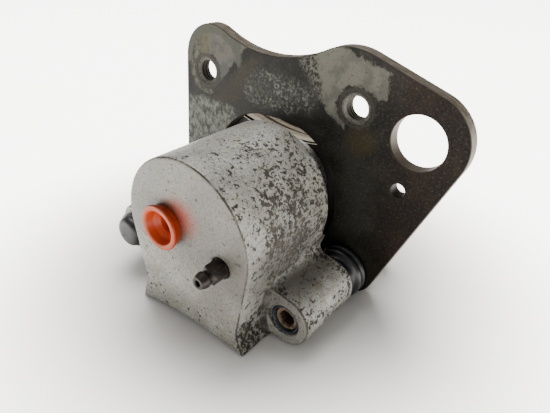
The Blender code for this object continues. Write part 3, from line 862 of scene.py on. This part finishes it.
    # sawn and rolled edge faces: pale, a little rust; the bores darker
    edge = f.mix(f.step(f.noise(5, 4, 0.6, stretch=(1, 3, 1), shift=17), 0.38, 0.66),
                 srgb(104, 99, 86), srgb(78, 69, 58))
    edge = f.mix(f.times(f.step(f.noise(1.0, 3), 0.52, 0.66), 0.6), edge, srgb(84, 73, 64))
    big_bore = f.step(f.radius(BIG_HOLE[0], BIG_HOLE[1]), 10.5, 10.0)
    small_bore = f.step(f.radius(SMALL_HOLE[0], SMALL_HOLE[1]), 3.4, 3.0)
    bolt_bore = f.step(f.lowest(hole_left, hole_right), 5.2, 5.0)
    bolt_bore = f.times(bolt_bore, f.step(f.y, 0.7, 1.0))
    edge = f.mix(f.times(big_bore, 0.8), edge, srgb(80, 72, 63))
    edge = f.mix(f.times(small_bore, 0.9), edge, srgb(26, 22, 19))
    lip = f.times(f.step(f.lowest(hole_left, hole_right), 5.8, 5.5), f.step(f.y, 1.0, 0.7))
    edge = f.mix(lip, edge, f.mix(f.step(fine, 0.45, 0.6), srgb(96, 95, 88), srgb(70, 69, 63)))
    edge = f.mix(f.times(bolt_bore, 0.9), edge,
                 f.mix(f.step(f.lowest(hole_left, hole_right), 4.15, 4.75), srgb(96, 94, 86),
                       srgb(30, 29, 26)))
    f.paint(edge, f.minus(1.0, face), 0.95)
    tilt = f.math("ABSOLUTE", n_y)
    arris = f.times(f.step(tilt, 0.25, 0.45), f.step(tilt, 0.98, 0.9))
    arris = f.times(arris, f.step(f.lowest(hole_left, hole_right), 5.6, 5.9))
    f.paint(srgb(46, 43, 38), arris, 0.8)
    f.set("Base Color", f.tone)
    f.set("Specular IOR Level", 0.12)
    f.set("Roughness", f.fade(f.plus(bare, fine), 0.3, 1.6, 0.5, 0.68))
    relief = f.plus(f.times(fine, 0.2), f.times(bare, 0.3))
    relief = f.minus(relief, f.times(corner, pit, 0.5))
    relief = f.plus(relief, f.times(f.noise(2.6, 6, 0.7), 0.25))
    f.bump(relief, 0.22, 0.8)
    return f.material


def speckled(name, base, fleck, size, roughness, metallic, amount=0.5, relief=0.15):
    """General worn finish: base colour with flecks of another and a little relief."""
    f = Finish(name, roughness, metallic)
    fleck_mask = f.step(f.noise(size, 5, 0.65), 0.44, 0.6)
    shade = f.fade(f.noise(size * 5, 3, shift=6), 0.3, 0.7, 0.82, 1.12)
    tone = f.mix(f.times(fleck_mask, amount), base, fleck)
    dark = tuple(c * 0.82 for c in base[:3]) + (1.0,)
    tone = f.mix(f.step(shade, 0.85, 1.1), tone, f.mix(0.5, tone, dark))
    f.set("Base Color", tone)
    f.set("Roughness", f.fade(fleck_mask, 0.0, 1.0, roughness - 0.06, roughness + 0.12))
    f.bump(f.noise(size * 0.6, 4, 0.6, shift=3), relief, 0.7)
    return f.material


def pin_steel():
    """Plated pin, rusty at its front end and dark down in the socket."""
    f = Finish("pin_steel", 0.45, 0.6)
    front = f.minus(f.y, PIN_FRONT)
    rust = f.mix(f.step(f.noise(1.1, 5, 0.65), 0.42, 0.60), srgb(116, 96, 74), srgb(66, 50, 38))
    clean = f.mix(f.step(f.noise(4, 3), 0.4, 0.6), srgb(140, 138, 130), srgb(116, 110, 98))
    tone = f.mix(f.step(front, 2.0, 10.0), rust, clean)
    near = f.lowest(f.radius(*PIN_LEFT), f.radius(*PIN_RIGHT))
    bore = f.times(f.step(f.times(near, -1.0), -3.6, -3.3), f.step(front, 0.3, 1.2))
    tone = f.mix(bore, tone, srgb(52, 36, 26))
    f.set("Base Color", tone)
    f.set("Roughness", f.fade(front, 2.0, 10.0, 0.72, 0.42))
    f.set("Metallic", f.fade(front, 2.0, 10.0, 0.2, 0.8))
    f.bump(f.noise(0.7, 4), 0.1, 0.7)
    return f.material


def soft_rubber(name, base, sheen, roughness):
    """Moulded rubber: dark, with lighter blotches in random spots that stand for dust and in part
    for a painted soft sheen.
    """
    f = Finish(name, roughness, 0.0)
    # lighter colour in random blotches: dust, and in part a painted sheen
    dust_and_sheen = f.step(f.noise(2.6, 4, 0.6), 0.5, 0.75)
    f.set("Base Color", f.mix(f.times(dust_and_sheen, 0.5), base, sheen))
    f.set("Specular IOR Level", 0.55)
    f.set("Roughness", f.fade(dust_and_sheen, 0.0, 1.0, roughness - 0.05, roughness + 0.15))
    f.bump(f.noise(0.8, 3), 0.06, 0.6)
    return f.material


def plug_plastic():
    """Soft waxy orange moulding, a little lighter and milkier at its rim."""
    f = Finish("plug_plastic", 0.42, 0.0)
    front = span_of("port_plug")[0]
    haze = f.noise(3.0, 3)
    rim = f.step(f.times(f.minus(f.y, front), -1.0), -1.3, -0.2)
    tone = f.mix(f.step(haze, 0.4, 0.65), srgb(146, 42, 1), srgb(156, 50, 2))
    tone = f.mix(f.times(rim, 0.55), tone, srgb(144, 56, 10))
    f.set("Base Color", tone)
    f.set("Specular IOR Level", 0.3)
    f.bump(f.noise(1.2, 3), 0.03, 0.5)
    return f.material


def sheet_steel(name, face_colour, edge_colour, roughness):
    """Stamped sheet whose broad faces are coated and whose cut edges are bare."""
    f = Finish(name, roughness, 0.15)
    face = f.step(f.math("ABSOLUTE", f.normal()[1]), 0.8, 0.95)
    grain = f.step(f.noise(1.4, 4, 0.6, stretch=(1, 2, 1)), 0.42, 0.66)
    edge = f.mix(f.times(grain, 0.5), edge_colour, srgb(118, 104, 88))
    f.set("Base Color", f.mix(face, edge, face_colour))
    f.bump(f.noise(0.7, 4), 0.08, 0.7)
    return f.material


# ---------------------------------------------------------------- pieces
def make_bracket():
    bolt_holes = [circle(side * BOLT_X, 0, BOLT_CHAMFER_R + 0.05) for side in (-1, 1)]
    pin_holes = [circle(*pin, PIN_THREAD_R + GAP, 48) for pin in (PIN_LEFT, PIN_RIGHT)]
    holes = [*bolt_holes, *pin_holes, circle(*BIG_HOLE, 144), circle(*SMALL_HOLE, 64)]
    mesh = slab("bracket_plate_fine", bracket_outline(), 0, PLATE_T, PLATE_EDGE, holes)
    bm = bmesh.new()
    bm.from_mesh(mesh)
    for side in (-1, 1):
        add_thread(bm, side * BOLT_X)
    bm.to_mesh(mesh)
    bm.free()
    new_piece("bracket_plate_fine", mesh, "bracket", "bracket_plate",
              worn_plate(), flat=True)


def ring_points(bm, x, y, radii):
    """Vertices of a ring about the Y axis through (x, 0), one for each radius."""
    ring = []
    for i, radius in enumerate(radii):
        angle = 2 * math.pi * i / len(radii)
        place = (x + radius * math.cos(angle), y, radius * math.sin(angle))
        ring.append(bm.verts.new(Vector(place) * MM))
    return ring


def add_thread(bm, x):
    """Threaded lining of a bolt hole with its chamfered mouth, as one closed ring."""
    steps = 96
    rows = 64
    sunk = 0.12
    run_out = 0.5
    y_first = sunk
    y_last = PLATE_T - sunk
    rings = []
    for row in range(rows + 1):
        y = y_first + (y_last - y_first) * row / rows
        inward = y - y_first - BOLT_CHAMFER_DEPTH
        fading = min(1, max(0, inward) / run_out, (y_last - y) / run_out)
        radii = []
        for i in range(steps):
            depth = abs(2 * ((y / THREAD_PITCH + i / steps) % 1) - 1)
            radii.append(THREAD_CREST_R + (THREAD_ROOT_R - THREAD_CREST_R) * depth * fading)
        if inward < 0:
            narrowing = (BOLT_CHAMFER_R - THREAD_CREST_R) * (y - y_first) / BOLT_CHAMFER_DEPTH
            radii = [BOLT_CHAMFER_R - narrowing] * steps
        rings.append(ring_points(bm, x, y, radii))
    outer = [BOLT_CHAMFER_R + sunk] * steps
    rings += [ring_points(bm, x, y, outer) for y in (y_last, y_first)]
    for a, b in zip(rings, rings[1:] + rings[:1]):
        for i in range(steps):
            j = (i + 1) % steps
            face = bm.faces.new((a[i], a[j], b[j], b[i]))
            face.smooth = True
    bm.normal_update()


def make_body():
    mesh = body_mesh()
    mesh.shade_smooth()
    new_piece("caliper_body_cast", mesh, "caliper", "caliper_body",
              cast_paint())


def make_pins():
    steel = pin_steel()
    for side, axis in (("left", PIN_LEFT), ("right", PIN_RIGHT)):
        front, rear = PIN_FRONT, PIN_REAR
        profile = [(0, front + 5), (2.78, front + 4.4, 6), (2.78, front + 0.7, 6),
                   (3.3, front + 0.05), (3.6, front), (3.95, front), (4.15, front + 0.1),
                   (PIN_R, front + 0.8), (PIN_R, -2.6), (5.7, -2.5), (6.0, -2.2), (6.0, -0.5),
                   (5.8, -0.3), (PIN_THREAD_R, -0.3), (PIN_THREAD_R, rear - 0.9),
                   (PIN_THREAD_R - 0.25, rear - 0.3), (PIN_THREAD_R - 0.8, rear), (0, rear)]
        name = side + "_slide_pin"
        new_piece(name + "_fine", turned(name + "_fine", profile, axis, 96), "bracket", name,
                  steel)


def make_boots():
    rubber = soft_rubber("boot_rubber", srgb(10, 12, 15), srgb(32, 35, 40), 0.40)
    low, high = node_box("right_pin_boot")
    front, rear = low[1], high[1]
    rib_r = (high[0] - low[0]) / 2
    inner = PIN_R + GAP
    ribs = [(7.6, front + 0.0), (8.3, front + 0.25), (8.45, front + 1.0), (8.3, front + 2.0),
            (8.7, front + 2.8), (9.9, front + 3.6), (rib_r, front + 4.6), (9.9, front + 5.5),
            (8.9, front + 6.1), (9.9, front + 6.8), (rib_r, front + 7.6), (9.9, front + 8.4),
            (9.2, rear - 0.35), (8.6, rear)]
    inside = [(6.4, rear), (6.3, rear - 2.6), (7.2, rear - 3.4), (7.2, front + 2.6),
              (inner, front + 1.6), (inner, front)]
    profile = smooth_profile([tuple(map(float, p)) for p in ribs], 5) + inside
    for side, axis in (("left", PIN_LEFT), ("right", PIN_RIGHT)):
        name = side + "_pin_boot"
        mesh = turned(name + "_fine", profile, axis, 96, closed=True, sharp_angle=60)
        boot = new_piece(name + "_fine", mesh, None, name, rubber)
        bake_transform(boot)


def make_cap():
    front = float(node_box("left_pin_cap")[0][1])
    head = [(0, front), (3.2, front + 0.08), (4.9, front + 0.45), (5.8, front + 1.2),
            (6.2, front + 2.1), (6.25, front + 2.8)]
    ridge = [(6.3, front + 2.85), (7.0, front + 3.3), (7.1, front + 3.8), (7.1, front + 5.2),
             (6.9, front + 5.8), (6.5, BOSS_FRONT - GAP)]
    stem = [(5.45, BOSS_FRONT - GAP), (5.45, -36.4), (4.8, -36.0), (4.8, -43.2), (0, -43.9)]
    profile = smooth_profile(head, 5) + ridge + stem
    rubber = soft_rubber("cap_rubber", srgb(9, 9, 10), srgb(30, 30, 30), 0.5)
    new_piece("left_pin_cap_fine", turned("left_pin_cap_fine", profile, PIN_LEFT, 96), "caliper",
              "left_pin_cap", rubber)


def make_bleeder():
    low, high = node_box("bleeder_screw")
    front = float(low[1])
    foot = FACE_Y - GAP
    rear = float(high[1])
    flat = 3.0
    profile = [(0, rear), (1.4, rear - 0.1), (3.3, rear - 2.1), (3.3, foot + 0.2),
               (3.0, foot + 0.1), (flat * 1.02, foot),
               (flat, foot - 0.15, 6), (flat, foot - 4.4, 6),
               (2.96, foot - 4.8), (2.8, foot - 5.0), (2.3, foot - 5.2), (2.2, foot - 5.6),
               (2.25, foot - 6.0), (2.5, foot - 6.3), (2.75, foot - 6.7), (2.78, foot - 7.2),
               (2.7, foot - 7.8), (2.45, foot - 8.6), (2.1, front + 0.1), (1.9, front),
               (1.25, front), (1.05, front + 0.25), (1.0, foot - 4.5), (0, foot - 4.5)]
    steel = speckled("bleeder_rust", srgb(30, 26, 22), srgb(58, 46, 38), 0.8, 0.38, 0.55, 0.5)
    new_piece("bleeder_screw_fine", turned("bleeder_screw_fine", profile, BLEEDER, 96), "bleeder",
              "bleeder_screw", steel)


def make_plug():
    low, high = node_box("port_plug")
    front = float(low[1])
    rear = float(high[1])
    foot = FACE_Y - GAP
    stem_r = PORT_R - GAP
    profile = [(0, rear), (stem_r - 0.8, rear), (stem_r - 0.2, rear - 0.3), (stem_r, rear - 0.8),
               (stem_r, foot), (7.15, foot), (7.3, foot - 0.15), (7.55, foot - 2.0),
               (7.7, foot - 2.25), (7.95, foot - 2.45), (8.05, foot - 2.75), (8.03, front + 0.35),
               (7.85, front + 0.08), (7.5, front), (6.6, front + 0.02), (6.2, front + 0.2),
               (5.95, front + 0.6), (5.5, foot - 1.2), (5.1, foot - 0.6), (3.6, foot + 0.5),
               (3.3, foot + 1.0), (3.1, rear - 1.9), (2.8, rear - 1.8), (0, rear - 1.8)]
    new_piece("port_plug_fine", turned("port_plug_fine", profile, INLET, 96), "plug", "port_plug",
              plug_plastic())


def make_pads():
    coated = sheet_steel("coated_shim", srgb(30, 29, 28), srgb(176, 166, 148), 0.55)
    backing = sheet_steel("pad_backing", srgb(70, 64, 58), srgb(158, 148, 132), 0.6)
    black = soft_rubber("insulator_black", srgb(22, 22, 22), srgb(44, 42, 40), 0.75)
    lining = speckled("friction_lining", srgb(140, 130, 114), srgb(86, 76, 66), 0.8, 0.85, 0.1,
                      0.6, 0.3)
    layers = (("inboard_shim", 77.9, 0, coated, "inboard_pad", "shim_steel", 0.12),
              ("inboard_insulator", 80.5, 0, black, "inboard_pad", "insulator_black", 0.15),
              ("inboard_friction", 78.1, 0.5, lining, "inboard_pad", "friction_lining", 0.3),
              ("outboard_friction", 79.9, 0.5, lining, "outboard_pad", "friction_lining", 0.3),
              ("outboard_shim", 79.0, 0, coated, "outboard_pad", "shim_steel", 0.12))
    for node, top_r, inset, finish, body, slot, edge in layers:
        front, rear = span_of(node)
        mesh = slab(node + "_fine", pad_outline(top_r, inset), front, rear, edge)
        new_piece(node + "_fine", mesh, body, node, finish, flat=True)
    for node, body in (("inboard_backing", "inboard_pad"), ("outboard_backing", "outboard_pad")):
        front, rear = span_of(node)
        holes = [circle(*pin, PIN_THREAD_R + GAP, 64) for pin in (PIN_LEFT, PIN_RIGHT)]
        mesh = slab(node + "_fine", backing_outline(BACKING_TOP_R), front, rear, 0.3, holes)
        new_piece(node + "_fine", mesh, body, node, backing, flat=True)


def make_inner_rings():
    """Bushes, seals and piston: round pieces remade with fine steps and eased edges."""
    bush = soft_rubber("bush_rubber", srgb(26, 30, 40), srgb(60, 66, 78), 0.4)
    seal = soft_rubber("seal_rubber", srgb(20, 20, 20), srgb(48, 46, 44), 0.5)
    rings = (("left_guide_bush", PIN_LEFT, PIN_R + GAP, BOSS_BORE_R - GAP, bush, "bush_rubber"),
             ("right_guide_bush", PIN_RIGHT, PIN_R + GAP, BOSS_BORE_R - GAP, bush, "bush_rubber"),
             ("piston_seal", PISTON_AXIS, BORE_R, SEAL_GROOVE[0] - GAP, seal, "seal_rubber"),
             ("dust_seal", PISTON_AXIS, BORE_R, DUST_SEAT[0] - GAP, seal, "seal_rubber"))
    for node, axis, inner, outer, finish, slot in rings:
        front, rear = span_of(node)
        ease = 0.2
        profile = [(inner, front + ease), (inner + ease, front), (outer - ease, front),
                   (outer, front + ease), (outer, rear - ease), (outer - ease, rear),
                   (inner + ease, rear), (inner, rear - ease)]
        mesh = turned(node + "_fine", profile, axis, 96, closed=True, sharp_angle=60)
        new_piece(node + "_fine", mesh, "caliper", node, finish)
    front, rear = span_of("piston")
    radius = BORE_R - GAP
    profile = [(0, front), (radius - 1, front), (radius - 0.3, front + 0.3), (radius, front + 1),
               (radius, rear - 0.4), (radius - 0.4, rear), (13.0, rear), (12.6, rear - 0.4),
               (12.2, front + 8), (11.2, front + 7), (0, front + 7)]
    steel = speckled("piston_steel", srgb(176, 174, 170), srgb(120, 116, 110), 0.7, 0.3, 0.9,
                     0.3, 0.04)
    new_piece("piston_fine", turned("piston_fine", profile, PISTON_AXIS, 128), "piston", "piston",
              steel)


def finish_spring():
    """The pad spring keeps its CAD shape and gets eased edges and a bright finish."""
    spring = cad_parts["pad_spring"]
    steel = speckled("spring_steel", srgb(150, 148, 142), srgb(108, 100, 90), 0.6, 0.35, 0.9,
                     0.4, 0.04)
    spring.data.materials.clear()
    spring.data.materials.append(steel)
    bevel = spring.modifiers.new("eased_edges", "BEVEL")
    bevel.width = 0.12 * MM
    bevel.segments = 2


# ---------------------------------------------------------------- floor, lights and camera
def make_stage():
    floor_z = LOWEST * MM
    bpy.ops.mesh.primitive_plane_add(size=6.0, location=(0, 1.2, floor_z - 0.0001))
    floor = bpy.context.object
    floor.name = "floor"
    f = Finish("pale_floor", 0.62, 0.0)
    f.set("Base Color", f.mix(f.step(f.noise(160, 2), 0.4, 0.6), srgb(244, 242, 239),
                              srgb(247, 245, 242)))
    # painted light: the floor glows of itself and brightens away from the object, in place of a
    # brightly lit sheet
    away = f.blob((5, -1210, 0), (160, 160, 160))
    f.set("Emission Color", srgb(255, 252, 247))
    f.set("Emission Strength", f.times(f.step(f.times(away, -1.0), -0.72, -0.05), FLOOR_GLOW))
    floor.data.materials.append(f.material)


def add_light(name, place, target, size, power, colour):
    data = bpy.data.lights.new(name, "AREA")
    data.shape = "RECTANGLE"
    data.size, data.size_y = size
    data.energy = power
    data.color = colour
    light = bpy.data.objects.new(name, data)
    light.location = place
    light.rotation_euler = (Vector(target) - Vector(place)).to_track_quat("-Z", "Y").to_euler()
    bpy.context.scene.collection.objects.link(light)


def make_lights():
    world = bpy.data.worlds.new("studio")
    bpy.context.scene.world = world
    world.use_nodes = True
    background = world.node_tree.nodes["Background"]
    background.inputs["Color"].default_value = (1.0, 0.985, 0.965, 1)
    background.inputs["Strength"].default_value = 0.40
    centre = (0, 0, -0.03)
    add_light("key_above", (-0.25, 0.28, 0.75), centre, (0.6, 0.6), 8.6, (1.0, 0.985, 0.96))
    add_light("fill_front", (-0.35, -0.75, 0.35), centre, (0.6, 0.6), 0.6, (0.96, 0.98, 1.0))


def make_camera():
    """Camera to the right of the inlet face, looking down on it."""
    yaw = math.radians(36.89)
    down = math.radians(30.01)
    roll = math.radians(2.03)
    forward = Vector((-math.sin(yaw) * math.cos(down), math.cos(yaw) * math.cos(down),
                      -math.sin(down)))
    level = Vector((math.cos(yaw), math.sin(yaw), 0))
    above = level.cross(forward)
    right = level * math.cos(roll) + above * math.sin(roll)
    up = above * math.cos(roll) - level * math.sin(roll)
    data = bpy.data.cameras.new("camera")
    data.sensor_width = 36.0
    data.lens = 32.06
    data.clip_start = 0.01
    camera = bpy.data.objects.new("camera", data)
    turn = Matrix((right, up, -forward)).transposed().to_4x4()
    camera.matrix_world = Matrix.Translation(Vector((108.55, -141.6, 52.55)) * MM) @ turn
    bpy.context.scene.collection.objects.link(camera)
    bpy.context.scene.camera = camera


make_bracket()
make_body()
make_pins()
make_boots()
make_cap()
make_bleeder()
make_plug()
make_pads()
make_inner_rings()
finish_spring()
make_stage()
make_lights()
make_camera()

bpy.context.view_layer.update()
